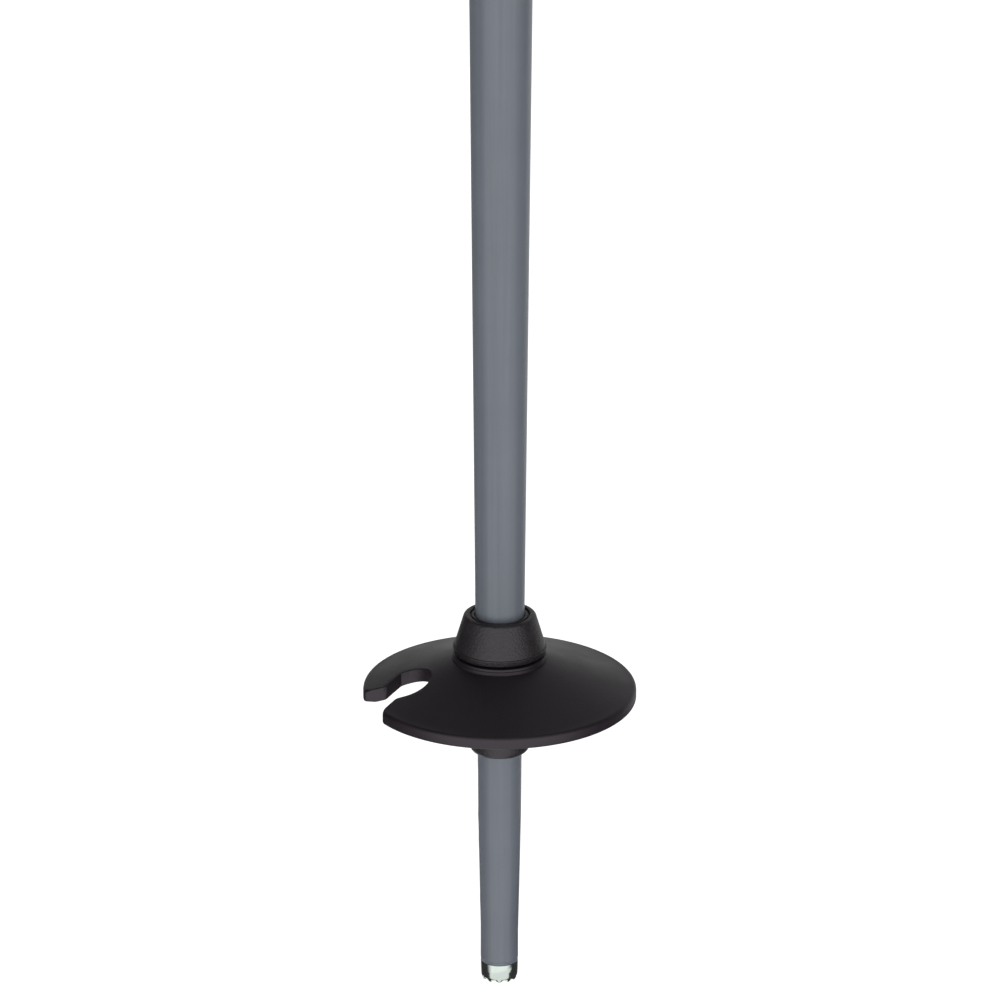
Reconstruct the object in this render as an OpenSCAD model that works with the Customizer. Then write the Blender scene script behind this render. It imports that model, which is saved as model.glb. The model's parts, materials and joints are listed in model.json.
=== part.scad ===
// Alpine ski pole: drawn aluminium shaft with a toothed steel crown, a clip-notch basket,
// and a moulded grip with an adjustable wrist strap.
// Origin on the pole's axis at the level of the tooth tips, +Z up the shaft.
// The fingers close round the +X side of the grip and the strap hangs on the -X side.

/* [Shaft] */
// Overall length, from the tooth tips to the top of the cap
pole_l = 1200; // [1100:10:1300]
// Diameter of the straight tube
shaft_d = 18; // [17.5:0.1:18.5]
// Height at which the straight tube starts to taper
taper_top = 380; // [340:10:420]
// Diameter just above the basket
seat_d = 12.6; // [12.4:0.1:12.8]
// Diameter of the straight length at the lower end, which a tip cover pushes on to
tip_d = 9.7; // [9.6:0.05:9.9]
// Length of that straight end
tip_l = 8; // [6:0.5:9]
// Thickness of the tube wall
wall = 1.2; // [1:0.1:1.5]

/* [Crown] */
// Length of crown that shows below the tube
crown_h = 5.2; // [4.5:0.1:6]
// Number of teeth
teeth = 11; // [9:1:12]
// Radius of the round gullet between two teeth
gullet_r = 0.97; // [0.95:0.01:1.05]
// Depth of the gullets
gullet_depth = 0.85; // [0.6:0.05:0.9]

/* [Basket] */
// Height of the underside of the rim
rim_z = 79.15; // [78.65:0.5:80.65]
// Outer diameter of the disc
disc_d = 70; // [68:0.5:72]
// Height of the upright rim
rim_h = 2.8; // [2.6:0.1:3]
// Upright thickness of the disc's wall
disc_t = 3.75; // [3.6:0.05:3.9]
// Diameter of the clip hole
clip_d = 13.1; // [12.8:0.1:13.4]
// Diameter of the hub's neck that the disc turns on
neck_d = 17; // [16.6:0.1:17.4]

/* [Grip] */
// Length of the grip, from the collar to the top of the head
grip_l = 137; // [134:1:140]
// Finger grooves along the front of the sleeve
fingers = 4; // [3:1:4]
// Depth of the finger grooves
groove_depth = 2.2; // [1:0.1:2.6]

/* [Strap] */
// Width of the webbing
web_w = 18; // [16:0.5:18]
// Thickness of one layer of webbing
web_t = 1.6; // [1.4:0.1:1.6]
// Outer radius of the bottom of the loop
loop_r = 28; // [26:1:30]
// Length of the doubled webbing above the loop
stem_l = 46; // [44:1:50]
// Drop from the top of the loop to the centre of its round bottom
loop_drop = 126; // [118:1:134]

/* [Fits] */
// Radial clearance where the disc turns on the hub
turn_gap = 0.08; // [0.05:0.01:0.1]
// Clearance between pieces that move past each other
gap = 0.35; // [0.3:0.05:0.4]

/* [Hidden] */
$fn = 64;

// Shaft: [height, diameter] down the tube
shaft_top = pole_l - 50;
neck_z = 61;
shaft_stations = [
    [shaft_top, shaft_d], [taper_top, shaft_d], [rim_z + 21, seat_d], [neck_z, 11.3],
    [46, 11.1], [39, 10.8], [22, 10.1], [crown_h + tip_l, tip_d], [crown_h + 0.8, tip_d],
    [crown_h, tip_d - 0.3]];
shank_r = 3.55;
shank_top = 22;
cup_r = 2.9;
cup_depth = 4.2;
crown_foot_r = 4.25;

// Basket
disc_r = disc_d / 2;
rim_round = 1.2;
ring_r = 11.95;
flange_r = 12.2;
ring_z = rim_z + 12.1;
boss_z = rim_z + 2;
function disc_top(r) = rim_z + rim_h + (disc_r - r) * 0.31 + pow(disc_r - r, 2) * 0.0014;
neck_r = neck_d / 2;
hub_top = rim_z + 22.9;
hub_foot = rim_z - 14.9;
skirt_z = ring_z + 0.6;
skirt_h = 1.6;

// Clip notch in plan: the hole, the side of the far claw, and the mouth with its near claw
clip_at = [-24, -5.8];
far_claw = [[-24.6, 1.5, 0], [-29.1, -4.9, 1.2], [-34.7, -4.05, 1], [-35.1, -1.9, 0], [-35.1, 1.5, 0]];
mouth = [[-22, -5.8, 0], [-26, -2, 0], [-42, -2, 0], [-42, -24, 0], [-28.7, -20.6, 0],
         [-30.5, -17.3, 2.4], [-26.4, clip_at.y - clip_d / 2, 1.5], [clip_at.x, clip_at.y - clip_d / 2, 0]];

// Grip
grip_z = pole_l - grip_l;
collar_h = 9;
collar_r = 17.5;
sleeve_z = grip_z + collar_h;
head_h = 36;
head_z = pole_l - 1 - head_h;
core_r = shaft_d / 2 + 2.5;
spigot_r = 8;
spigot_h = 6;
cap_r = 7.5;
cap_h = 2.6;
screw_r = 2;
screw_head_r = 3.8;
screw_head_h = 2.6;
screw_seat = head_z + 15;
loft_n = 40;

// [height above the head's foot, reach to the front, reach to the back, half width]
head_stations = [
    [0, 17, 15.5, 14.5], [4, 19.5, 18, 15.2], [9, 23, 21.5, 16], [15, 25, 23.5, 16.4],
    [23, 25, 23.5, 16.3], [29, 23.6, 22.4, 15.4], [33, 21, 20, 13.8], [head_h, 16.5, 16, 11]];

// Strap: the pin that it goes round, its way out of the head, and its hinge behind the head
pin_at = [-12, head_z + 11];
pin_r = 2;
eye_r = pin_r + web_t;
slot_half = web_t + 0.5;
slot_w = web_w + 1;
exit_x = -23.7;
hinge_at = [exit_x - gap - web_t, pin_at.y];
wedge_x = [-17.5, -9.5];
wedge_z = pin_at.y + eye_r + gap;
leg_x = hinge_at.x + web_t;
fork_z = hinge_at.y - stem_l;
loop_at = [leg_x - loop_r, fork_z - loop_drop];
loop_tilt = atan(loop_r / loop_drop);
pad_t = 2.2;
pad_w = web_w + 4;
slider_h = 12;
slider_wall = 2.4;
slider_z = hinge_at.y - 12;

function unit(v) = v / norm(v);

// Points of an arc of radius r that rounds the corner p between the points a and b
function corner_arc(a, p, b, r) =
    let (steps = r > 10 ? 24 : 6, u = unit(a - p), v = unit(b - p), half = acos(u * v) / 2,
         centre = p + unit(u + v) * r / sin(half),
         from = p + u * r / tan(half) - centre,
         to = p + v * r / tan(half) - centre,
         start = atan2(from.y, from.x),
         turn = atan2(cross(from, to), from * to))
    [for (k = [0:steps]) centre + r * [cos(start + turn * k / steps), sin(start + turn * k / steps)]];

// A closed outline from corners [x, y, r], each rounded by its own radius
function rounded(corners) =
    let (n = len(corners), xy = [for (c = corners) [c.x, c.y]])
    [for (i = [0:n - 1])
        each corners[i][2] == 0 ? [xy[i]]
            : corner_arc(xy[(i + n - 1) % n], xy[i], xy[(i + 1) % n], corners[i][2])];

// A ring of the grip's section: a squarish oval with its own reach to the front and the back
function oval(z, front, back, half_w, power = 0.9) =
    [for (i = [0:loft_n - 1])
        let (c = cos(i * 360 / loft_n), s = sin(i * 360 / loft_n))
        [(c > 0 ? front : -back) * pow(abs(c), power), half_w * sign(s) * pow(abs(s), power), z]];

// A closed skin over rings of loft_n points each, from the lowest ring up
module loft(rings) {
    m = len(rings);
    polyhedron(
        points = [for (ring = rings) each ring],
        faces = concat(
            [[for (i = [0:loft_n - 1]) i]],
            [for (j = [0:m - 2], i = [0:loft_n - 1])
                let (a = j * loft_n + i, b = j * loft_n + (i + 1) % loft_n)
                each [[a, a + loft_n, b], [b, a + loft_n, b + loft_n]]],
            [[for (i = [loft_n - 1:-1:0]) (m - 1) * loft_n + i]]));
}

// Stands an X-Z outline up and gives it a width along Y, centred on the pole's axis
module across(w) {
    translate([0, w / 2, 0]) rotate([90, 0, 0]) linear_extrude(height = w) children();
}

// A block from x0 to x1 and z0 to z1, centred across Y
module block(x0, x1, w, z0, z1) {
    translate([x0, -w / 2, z0]) cube([x1 - x0, w, z1 - z0]);
}

module shaft_tube() {
    outer = [for (s = shaft_stations) [s[1] / 2, s[0]]];
    inner = [for (i = [3:-1:0]) [shaft_stations[i][1] / 2 - wall, shaft_stations[i][0]]];
    color([0.46, 0.48, 0.52])
        rotate_extrude()
            polygon(concat(outer, [[shank_r, crown_h], [shank_r, shank_top + 2]], inner));
}

module tip_crown() {
    color([0.86, 0.88, 0.87])
        difference() {
            rotate_extrude()
                polygon([[0, cup_depth], [cup_r - 0.5, cup_depth], [cup_r, 0], [crown_foot_r, 0],
                         [4.52, 0.5], [4.7, 1.3], [4.78, 3], [tip_d / 2 - 0.03, crown_h], [shank_r, crown_h],
                         [shank_r, shank_top - 1], [shank_r - 1, shank_top], [0, shank_top]]);
            for (i = [0:teeth - 1])
                rotate([0, 0, (i + 0.5) * 360 / teeth - 90])
                    translate([1, 0, gullet_depth - gullet_r]) rotate([0, 90, 0])
                        cylinder(r = gullet_r, h = tip_d);
        }
}

module basket_hub() {
    edge_r = 1;
    cone_r = 9.15;
    throat_r = 6.65;
    lip_r = 7.65;
    grip_end = rim_z + 16;
    shaft_r_at = function (z) lookup(z, [[neck_z, 11.3 / 2], [rim_z + 21, seat_d / 2]]);
    color([0.2, 0.2, 0.21])
        rotate_extrude()
            polygon(concat(
                [[shaft_r_at(hub_foot), hub_foot], [7.2, hub_foot], [7.65, hub_foot + 0.7],
                 [7.65, rim_z - 1.6], [neck_r + 0.9, rim_z + 0.6], [neck_r + 0.9, boss_z - gap - 0.4],
                 [neck_r, boss_z - gap], [neck_r, skirt_z], [11.6, skirt_z], [11.8, skirt_z + 0.3],
                 [12.05, skirt_z + skirt_h - 0.2], [11.7, skirt_z + skirt_h]],
                [for (a = [0:15:90])
                    [cone_r - edge_r + edge_r * cos(a), hub_top - edge_r + edge_r * sin(a)]],
                [[lip_r + 0.3, hub_top], [lip_r, hub_top - 0.3], [lip_r, hub_top - 0.6],
                 [lip_r - 0.5, hub_top - 0.6], [lip_r - 0.5, hub_top - 0.3], [throat_r, hub_top - 0.3],
                 [throat_r, grip_end + 1], [shaft_r_at(grip_end), grip_end]]));
}

module notch_plan() {
    difference() {
        union() {
            translate(clip_at) circle(d = clip_d);
            polygon(rounded(mouth));
        }
        polygon(rounded(far_claw));
    }
}

module basket_disc() {
    bore_r = neck_r + turn_gap;
    foot_r = disc_r - 3;
    color([0.14, 0.14, 0.15])
        difference() {
            rotate_extrude()
                polygon(concat(
                    [[bore_r, boss_z + 0.3], [bore_r + 0.3, boss_z], [11.7, boss_z], [12, boss_z + 0.4]],
                    [for (r = [12:3.5:29.5]) [r, disc_top(r) - disc_t]],
                    [[foot_r, rim_z], [disc_r - 0.4, rim_z], [disc_r, rim_z + 0.4]],
                    [for (a = [0:22.5:90])
                        [disc_r - rim_round * (1 - cos(a)),
                         disc_top(disc_r - rim_round) - rim_round * (1 - sin(a))]],
                    [for (r = [30:-4:14]) [r, disc_top(r)]],
                    [[flange_r, disc_top(flange_r)], [flange_r, ring_z - 0.7], [ring_r, ring_z - 0.6],
                     [ring_r - 0.05, ring_z - 0.2], [ring_r - 0.25, ring_z], [bore_r + 0.3, ring_z],
                     [bore_r, ring_z - 0.3]]));
            translate([0, 0, rim_z - 1]) linear_extrude(height = 14) notch_plan();
        }
}

module grip_core() {
    color([0.12, 0.12, 0.13])
        difference() {
            rotate_extrude()
                polygon([[shaft_d / 2, sleeve_z], [core_r, sleeve_z], [core_r, head_z],
                         [spigot_r, head_z], [spigot_r, head_z + spigot_h], [0, head_z + spigot_h],
                         [0, shaft_top], [shaft_d / 2, shaft_top]]);
            translate([0, 0, shaft_top - 1]) cylinder(r = screw_r, h = 40);
        }
}

module grip_collar() {
    color([0.42, 0.44, 0.47])
        rotate_extrude()
            polygon([[shaft_d / 2, grip_z], [collar_r - 3, grip_z], [collar_r - 0.4, grip_z + 2.6],
                     [collar_r, grip_z + 4], [collar_r, grip_z + 6], [collar_r - 1.6, sleeve_z],
                     [shaft_d / 2, sleeve_z]]);
}

module grip_sleeve() {
    length = head_z - sleeve_z;
    steps = 32;
    color([0.16, 0.16, 0.17])
        difference() {
            loft([for (k = [0:steps])
                let (t = k / steps, end = sin(180 * t),
                     groove = groove_depth * (1 - cos(360 * fingers * t)) / 2,
                     front = 17.4 - groove + 0.5 * end * (1 - t),
                     back = 15.6 - 0.9 * sin(360 * t),
                     half_w = 14.6 - 0.8 * end)
                oval(sleeve_z + t * length, front, back, half_w)]);
            translate([0, 0, sleeve_z - 1]) cylinder(r = core_r, h = length + 2);
        }
}

module head_shape() {
    loft([for (s = head_stations) oval(head_z + s[0], s[1], s[2], s[3], 0.82)]);
}

module grip_head() {
    color([0.12, 0.12, 0.13])
        difference() {
            head_shape();
            translate([0, 0, head_z - 1]) cylinder(r = spigot_r, h = spigot_h + 1);
            translate([0, 0, head_z]) cylinder(r = screw_r + 0.2, h = head_h);
            translate([0, 0, screw_seat]) cylinder(r = screw_head_r + 0.3, h = head_h);
            translate([0, 0, pole_l - cap_h]) cylinder(r = cap_r, h = cap_h);
            block(wedge_x[0] - gap, wedge_x[1] + gap, web_w + 2 * gap, pin_at.y, pole_l);
            block(pin_at.x - 4.2, pin_at.x + 4.2, slot_w, pin_at.y - 4.2, pin_at.y + 4.2);
            block(-40, pin_at.x, slot_w, pin_at.y - slot_half, pin_at.y + slot_half);
            across(pin_l()) translate(pin_at) circle(r = pin_r);
        }
}

function pin_l() = web_w + 8;

module head_cap() {
    color([0.42, 0.44, 0.47])
        rotate_extrude()
            polygon([[0, pole_l - cap_h], [cap_r, pole_l - cap_h], [cap_r, pole_l - 0.8],
                     [cap_r - 0.8, pole_l - 0.2], [cap_r - 3, pole_l], [0, pole_l]]);
}

module head_screw() {
    color([0.75, 0.76, 0.78])
        difference() {
            union() {
                translate([0, 0, screw_seat]) cylinder(r = screw_head_r, h = screw_head_h);
                translate([0, 0, screw_seat - 22]) cylinder(r = screw_r, h = 22);
            }
            translate([0, 0, screw_seat + 1]) cylinder(r = 1.7, h = 3, $fn = 6);
        }
}

module strap_pin() {
    color([0.75, 0.76, 0.78]) across(pin_l()) translate(pin_at) circle(r = pin_r);
}

module strap_wedge() {
    color([0.42, 0.44, 0.47])
        intersection() {
            head_shape();
            block(wedge_x[0], wedge_x[1], web_w, wedge_z, pole_l);
        }
}

module strap_anchor() {
    x = pin_at.x;
    z = pin_at.y;
    outline = [[exit_x, z + web_t, 0], [exit_x, z - web_t, 0], [x - 4, z - web_t, 0], [x - 1.5, z - eye_r, 2],
               [x + eye_r, z - eye_r, eye_r - 0.2], [x + eye_r, z + eye_r, eye_r - 0.2],
               [x - 1.5, z + eye_r, 2], [x - 4, z + web_t, 0]];
    color([0.1, 0.1, 0.11])
        across(web_w)
            difference() {
                polygon(rounded(outline));
                translate(pin_at) circle(r = pin_r);
            }
}

module strap_loop() {
    low = loop_at.y - loop_r;
    lean = 2 * loop_tilt;
    inner_x = leg_x - web_t;
    inner_top = fork_z - web_t / tan(loop_tilt);
    outer = [[leg_x, hinge_at.y, 0], [leg_x - 2 * web_t, hinge_at.y, 0],
             [leg_x - 2 * web_t, fork_z - 2 * web_t / tan(lean), 20],
             [leg_x - (fork_z - low) * tan(lean), low, loop_r], [leg_x, low, loop_r]];
    inner = [[inner_x, inner_top, 0.4],
             [inner_x - (inner_top - low - web_t) * tan(lean), low + web_t, loop_r - web_t],
             [inner_x, low + web_t, loop_r - web_t]];
    color([0.1, 0.1, 0.11])
        across(web_w)
            difference() {
                union() {
                    polygon(rounded(outer));
                    translate(hinge_at) circle(r = web_t + 0.05);
                }
                polygon(rounded(inner));
            }
}

module strap_pad() {
    inner_r = loop_r - web_t - 0.12;
    color([0.2, 0.2, 0.22])
        translate([loop_at.x, 0, loop_at.y]) rotate([90, 0, 0])
            rotate([0, 0, 180]) rotate_extrude(angle = 180)
                translate([inner_r - pad_t, -pad_w / 2]) square([pad_t, pad_w]);
}

module strap_slider() {
    half_in = web_t + gap;
    color([0.12, 0.12, 0.13])
        difference() {
            block(hinge_at.x - half_in - slider_wall, hinge_at.x + half_in + slider_wall,
                  web_w + 2 * gap + 2 * slider_wall, slider_z - slider_h, slider_z);
            block(hinge_at.x - half_in, hinge_at.x + half_in, web_w + 2 * gap,
                  slider_z - slider_h - 1, slider_z + 1);
        }
}

shaft_tube();
tip_crown();
basket_hub();
basket_disc();
grip_core();
grip_collar();
grip_sleeve();
grip_head();
head_cap();
head_screw();
strap_pin();
strap_wedge();
strap_anchor();
strap_loop();
strap_pad();
strap_slider();
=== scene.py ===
import json
import math

import bmesh
import bpy
from mathutils import Matrix, Vector
from mathutils.bvhtree import BVHTree
from mathutils.geometry import delaunay_2d_cdt


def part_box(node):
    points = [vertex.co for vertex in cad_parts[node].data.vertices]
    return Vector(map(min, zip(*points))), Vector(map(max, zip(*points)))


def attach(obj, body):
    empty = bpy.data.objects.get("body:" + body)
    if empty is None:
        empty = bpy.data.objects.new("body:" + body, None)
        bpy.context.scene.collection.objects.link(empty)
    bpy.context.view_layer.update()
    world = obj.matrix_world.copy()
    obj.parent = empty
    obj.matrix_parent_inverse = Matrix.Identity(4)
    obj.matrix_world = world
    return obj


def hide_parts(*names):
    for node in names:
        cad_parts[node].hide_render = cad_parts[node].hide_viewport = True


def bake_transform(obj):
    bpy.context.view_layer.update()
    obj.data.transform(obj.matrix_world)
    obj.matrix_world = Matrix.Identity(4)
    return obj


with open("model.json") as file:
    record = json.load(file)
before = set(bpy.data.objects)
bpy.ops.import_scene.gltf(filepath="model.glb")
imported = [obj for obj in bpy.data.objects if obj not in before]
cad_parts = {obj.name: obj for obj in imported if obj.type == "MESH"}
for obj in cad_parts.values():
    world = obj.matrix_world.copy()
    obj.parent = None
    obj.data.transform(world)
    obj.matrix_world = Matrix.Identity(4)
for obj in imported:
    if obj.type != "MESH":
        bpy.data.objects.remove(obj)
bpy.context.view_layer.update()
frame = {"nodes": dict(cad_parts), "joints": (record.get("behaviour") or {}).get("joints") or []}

MM = 0.001
TAU = math.tau


def low(node):
    """A CAD node's lowest corner, in metres."""
    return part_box(node)[0]


def high(node):
    """A CAD node's highest corner, in metres."""
    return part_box(node)[1]


# Places read from the frame, in millimetres
CROWN_TOP = low("shaft_tube").z / MM
RIM_Z = low("basket_disc").z / MM
RING_Z = high("basket_disc").z / MM
DISC_R = high("basket_disc").x / MM
HUB_FOOT = low("basket_hub").z / MM
HUB_TOP = high("basket_hub").z / MM
COLLAR_Z = low("grip_collar").z / MM
SLEEVE_Z = low("grip_sleeve").z / MM
HEAD_Z = low("grip_head").z / MM
HEAD_TOP = high("grip_head").z / MM
POLE_TOP = high("head_cap").z / MM
CAP_R = high("head_cap").x / MM
CORE_R = high("grip_core").x / MM
SHAFT_R = high("shaft_tube").x / MM
HINGE = Vector(next(j["pos_m"] for j in frame["joints"] if j["name"] == "strap_swing")) / MM


# ---------------------------------------------------------------- shader nodes

def feed(tree, socket, value):
    """Links a socket to another node's output, or sets it to a plain value."""
    if isinstance(value, bpy.types.NodeSocket):
        tree.links.new(value, socket)
    else:
        socket.default_value = value


def add_node(tree, kind, inputs, settings):
    """Adds a node, applies its settings, and feeds its inputs, which are given by name or by number."""
    made = tree.nodes.new(kind)
    for key, value in settings.items():
        setattr(made, key, value)
    for key, value in inputs.items():
        feed(tree, made.inputs[key], value)
    return made


def new_material(name, sockets):
    """A material whose Principled shader has these sockets set; an underscore stands for a space."""
    material = bpy.data.materials.new(name)
    material.use_nodes = True
    shader = material.node_tree.nodes["Principled BSDF"]
    for key, value in sockets.items():
        shader.inputs[key.replace("_", " ")].default_value = value
    return material, shader


# ---------------------------------------------------------------- camera and stage

def make_camera():
    """A long lens in front of the pole and a little above, aimed at the axis over the basket."""
    pitch = math.radians(21.44)
    reach = 2.0
    aim = Vector((0, 0, 0.1331))
    data = bpy.data.cameras.new("camera")
    data.lens = 283.7
    data.clip_start = 0.1
    data.clip_end = 100
    camera = bpy.data.objects.new("camera", data)
    camera.location = aim + reach * Vector((0, -math.cos(pitch), math.sin(pitch)))
    tilt = Matrix.Rotation(math.pi / 2 - pitch, 3, "X")
    roll = Matrix.Rotation(math.radians(0.085), 3, "Z")
    camera.rotation_euler = (tilt @ roll).to_euler()
    bpy.context.scene.collection.objects.link(camera)
    bpy.context.scene.camera = camera


def make_world():
    """A white studio, bright in front and behind and darker at the sides, plain white to the camera."""
    world = bpy.data.worlds.new("studio")
    world.use_nodes = True
    bpy.context.scene.world = world
    tree = world.node_tree
    tree.nodes.clear()

    def node(kind, *inputs, **settings):
        return add_node(tree, kind, dict(enumerate(inputs)), settings)

    def maths(operation, *inputs):
        return node("ShaderNodeMath", *inputs, operation=operation).outputs[0]

    def step(value, start, end, low_out=0.0, high_out=1.0):
        return node("ShaderNodeMapRange", value, start, end, low_out, high_out,
                    interpolation_type="SMOOTHSTEP").outputs[0]

    # A ray's direction: z is up; side and facing are its level part, to the right and away from the camera
    x, y, z = node("ShaderNodeSeparateXYZ", node("ShaderNodeTexCoord").outputs["Generated"]).outputs
    level = maths("SQRT", maths("ADD", maths("MULTIPLY", x, x), maths("MULTIPLY", y, y)))
    level = maths("MAXIMUM", level, 0.001)
    side = maths("DIVIDE", x, level)
    facing = maths("DIVIDE", y, level)

    # Above the horizon: the bright half on the camera's side, and a dimmer wall behind, wider on its right
    front = maths("MULTIPLY", step(facing, -0.12, -0.75), step(z, 0.45, 0.8, 1.15, 0.4))
    rear = maths("ADD", maths("MULTIPLY", facing, 0.94), maths("MULTIPLY", side, 0.34))
    back = step(maths("MAXIMUM", maths("SUBTRACT", facing, 0.09), rear), 0.68, 0.95)
    behind = maths("MULTIPLY", back, step(z, 0.15, 0.55, 0.55, 0.2))
    upper = maths("MAXIMUM", front, behind)

    # Below it: a pale card on the camera's side and underneath, which narrows towards the foot of the pole
    reach = maths("MAXIMUM", maths("MULTIPLY_ADD", z, 1.35, 1.45), 0.34)
    ahead = maths("MAXIMUM", step(y, -0.08, -0.16), step(z, -0.5, -0.56))
    within = step(maths("SUBTRACT", maths("ABSOLUTE", x), reach), 0.02, -0.02, 0, 0.95)
    card = maths("MULTIPLY", ahead, within)

    # The horizon is a little higher on the right, and a faint even light fills the dark parts
    horizon = maths("MULTIPLY_ADD", side, 0.045, -0.43)
    above = step(maths("SUBTRACT", z, horizon), -0.012, 0.012)
    glow = add_node(tree, "ShaderNodeMix", {0: above, 2: card, 3: upper}, {}).outputs[0]
    ambient = 0.04
    strength = maths("MULTIPLY_ADD", glow, 1 - ambient, ambient)

    white = (1, 1, 1, 1)
    lit = node("ShaderNodeBackground", white, strength)
    plain = node("ShaderNodeBackground", white, 1.0)
    seen = node("ShaderNodeLightPath").outputs["Is Camera Ray"]
    both = node("ShaderNodeMixShader", seen, lit.outputs[0], plain.outputs[0])
    out = node("ShaderNodeOutputWorld")
    tree.links.new(both.outputs[0], out.inputs["Surface"])


def make_staged(name, faces, **sockets):
    """A stage object made of flat faces, each a list of corners, in one plain material."""
    bm = bmesh.new()
    for corners in faces:
        bm.faces.new([bm.verts.new(corner) for corner in corners])
    mesh = bpy.data.meshes.new(name)
    bm.to_mesh(mesh)
    bm.free()
    mesh.materials.append(new_material(name, sockets)[0])
    staged = bpy.data.objects.new(name, mesh)
    bpy.context.scene.collection.objects.link(staged)
    return staged


def make_floor():
    """A pale matt floor at the tip's level, bright enough to meet the backdrop without an edge."""
    half = 40
    corners = [(-half, -half, 0), (half, -half, 0), (half, half, 0), (-half, half, 0)]
    floor = make_staged("floor", [corners], Base_Color=(0.9, 0.9, 0.9, 1), Roughness=1, Specular_IOR_Level=0,
                        Emission_Color=(1, 1, 1, 1), Emission_Strength=0.9)
    floor.visible_glossy = False


def make_stand():
    """A dark stand and a low flag right of the tip, hidden from the camera, that darken the shaft's edge."""
    foot_z, flag_x = -0.0005, 0.03
    foot = [(0.005, -0.003), (0.11, -0.02), (0.13, 0.06), (0.05, 0.08), (-0.002, 0.012), (-0.005, 0.005)]
    flag = [(-0.010, 0), (0.055, 0), (0.055, 0.009), (-0.010, 0.015)]
    faces = [[(x, y, foot_z) for x, y in foot], [(flag_x, y, z) for y, z in flag]]
    stand = make_staged("stand", faces, Base_Color=(0.03, 0.03, 0.032, 1))
    stand.visible_camera = False
    stand.visible_shadow = False


make_camera()
make_world()
make_floor()
make_stand()
bpy.context.scene.view_settings.view_transform = "Standard"


# ---------------------------------------------------------------- mesh helpers

def polar(angle):
    """The plane's unit vector at this angle."""
    return Vector((math.cos(angle), math.sin(angle)))


def turned(v, angle):
    """A plane vector turned by an angle."""
    c, s = math.cos(angle), math.sin(angle)
    return Vector((v.x * c - v.y * s, v.x * s + v.y * c))


def corner_arc(a, p, b, r, steps):
    """Points of an arc of radius r that rounds the corner p between a and b."""
    u, v = (a - p).normalized(), (b - p).normalized()
    half = math.acos(max(-1, min(1, u.dot(v)))) / 2
    centre = p + (u + v).normalized() * (r / math.sin(half))
    start = p + u * (r / math.tan(half)) - centre
    end = p + v * (r / math.tan(half)) - centre
    turn = math.atan2(start.x * end.y - start.y * end.x, start.dot(end))
    return [centre + turned(start, turn * k / steps) for k in range(steps + 1)]


def rounded(corners, closed=True, steps=5):
    """An outline from corners (x, y) or (x, y, radius); an open one keeps its two ends sharp."""
    flat = [Vector(c[:2]) for c in corners]
    points = []
    for i, corner in enumerate(corners):
        ends = not closed and i in (0, len(corners) - 1)
        if len(corner) < 3 or ends:
            points.append(flat[i])
        else:
            points += corner_arc(flat[i - 1], flat[i], flat[(i + 1) % len(flat)], corner[2], steps)
    return points


def rectangle(x0, x1, y0, y1, radius, steps=5):
    """A rectangle in plan with rounded corners."""
    corners = [(x0, y0, radius), (x1, y0, radius), (x1, y1, radius), (x0, y1, radius)]
    return rounded(corners, steps=steps)


def smooth(share):
    """A share from 0 to 1, slowed at both ends."""
    return share * share * (3 - 2 * share)


def clamped(value):
    return min(1, max(0, value))


def resampled(points, step):
    """The same open chain with no stretch longer than step."""
    out = [points[0]]
    for a, b in zip(points, points[1:]):
        count = max(1, math.ceil((b - a).length / step))
        out += [a.lerp(b, k / count) for k in range(1, count + 1)]
    return out


def finish_mesh(bm, name, sharp=38):
    """Turns a bmesh in millimetres into a smooth-shaded object in metres with its sharp edges marked."""
    bmesh.ops.remove_doubles(bm, verts=bm.verts, dist=1e-5)
    bmesh.ops.recalc_face_normals(bm, faces=bm.faces)
    bmesh.ops.scale(bm, vec=(MM,) * 3, verts=bm.verts)
    for face in bm.faces:
        face.smooth = True
    for edge in bm.edges:
        edge.smooth = len(edge.link_faces) == 2 and edge.calc_face_angle() < math.radians(sharp)
    mesh = bpy.data.meshes.new(name)
    bm.to_mesh(mesh)
    bm.free()
    obj = bpy.data.objects.new(name, mesh)
    bpy.context.scene.collection.objects.link(obj)
    return obj


def bridge(bm, a, b):
    """Faces between two closed rings of vertices, either of which may be a single point."""
    n = max(len(a), len(b))
    if n == 1:
        return
    for k in range(n):
        m = (k + 1) % n
        corners = [a[k % len(a)], a[m % len(a)], b[m % len(b)], b[k % len(b)]]
        bm.faces.new(dict.fromkeys(corners))


def ring(bm, r, z, n):
    """A ring of n vertices about the pole's axis, or one vertex on it."""
    if r < 1e-6:
        return [bm.verts.new((0, 0, z))]
    return [bm.verts.new((r * math.cos(TAU * k / n), r * math.sin(TAU * k / n), z)) for k in range(n)]


def lathe(name, outline, segments=144, sharp=38):
    """A solid of revolution about the pole's axis from a closed outline of (r, z) points."""
    bm = bmesh.new()
    rings = [ring(bm, p[0], p[1], segments) for p in outline]
    for a, b in zip(rings, rings[1:] + rings[:1]):
        bridge(bm, a, b)
    return finish_mesh(bm, name, sharp)


def skin(bm, rings):
    """A closed skin over rings of points, capped at both ends."""
    made = [[bm.verts.new(p) for p in points] for points in rings]
    for a, b in zip(made, made[1:]):
        bridge(bm, a, b)
    bm.faces.new(made[0])
    bm.faces.new(made[-1])


def hollow_skin(bm, rings):
    """A skin over rings of points whose last ring joins the first, as on a sleeve."""
    made = [[bm.verts.new(p) for p in points] for points in rings]
    for a, b in zip(made, made[1:] + made[:1]):
        bridge(bm, a, b)


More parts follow.
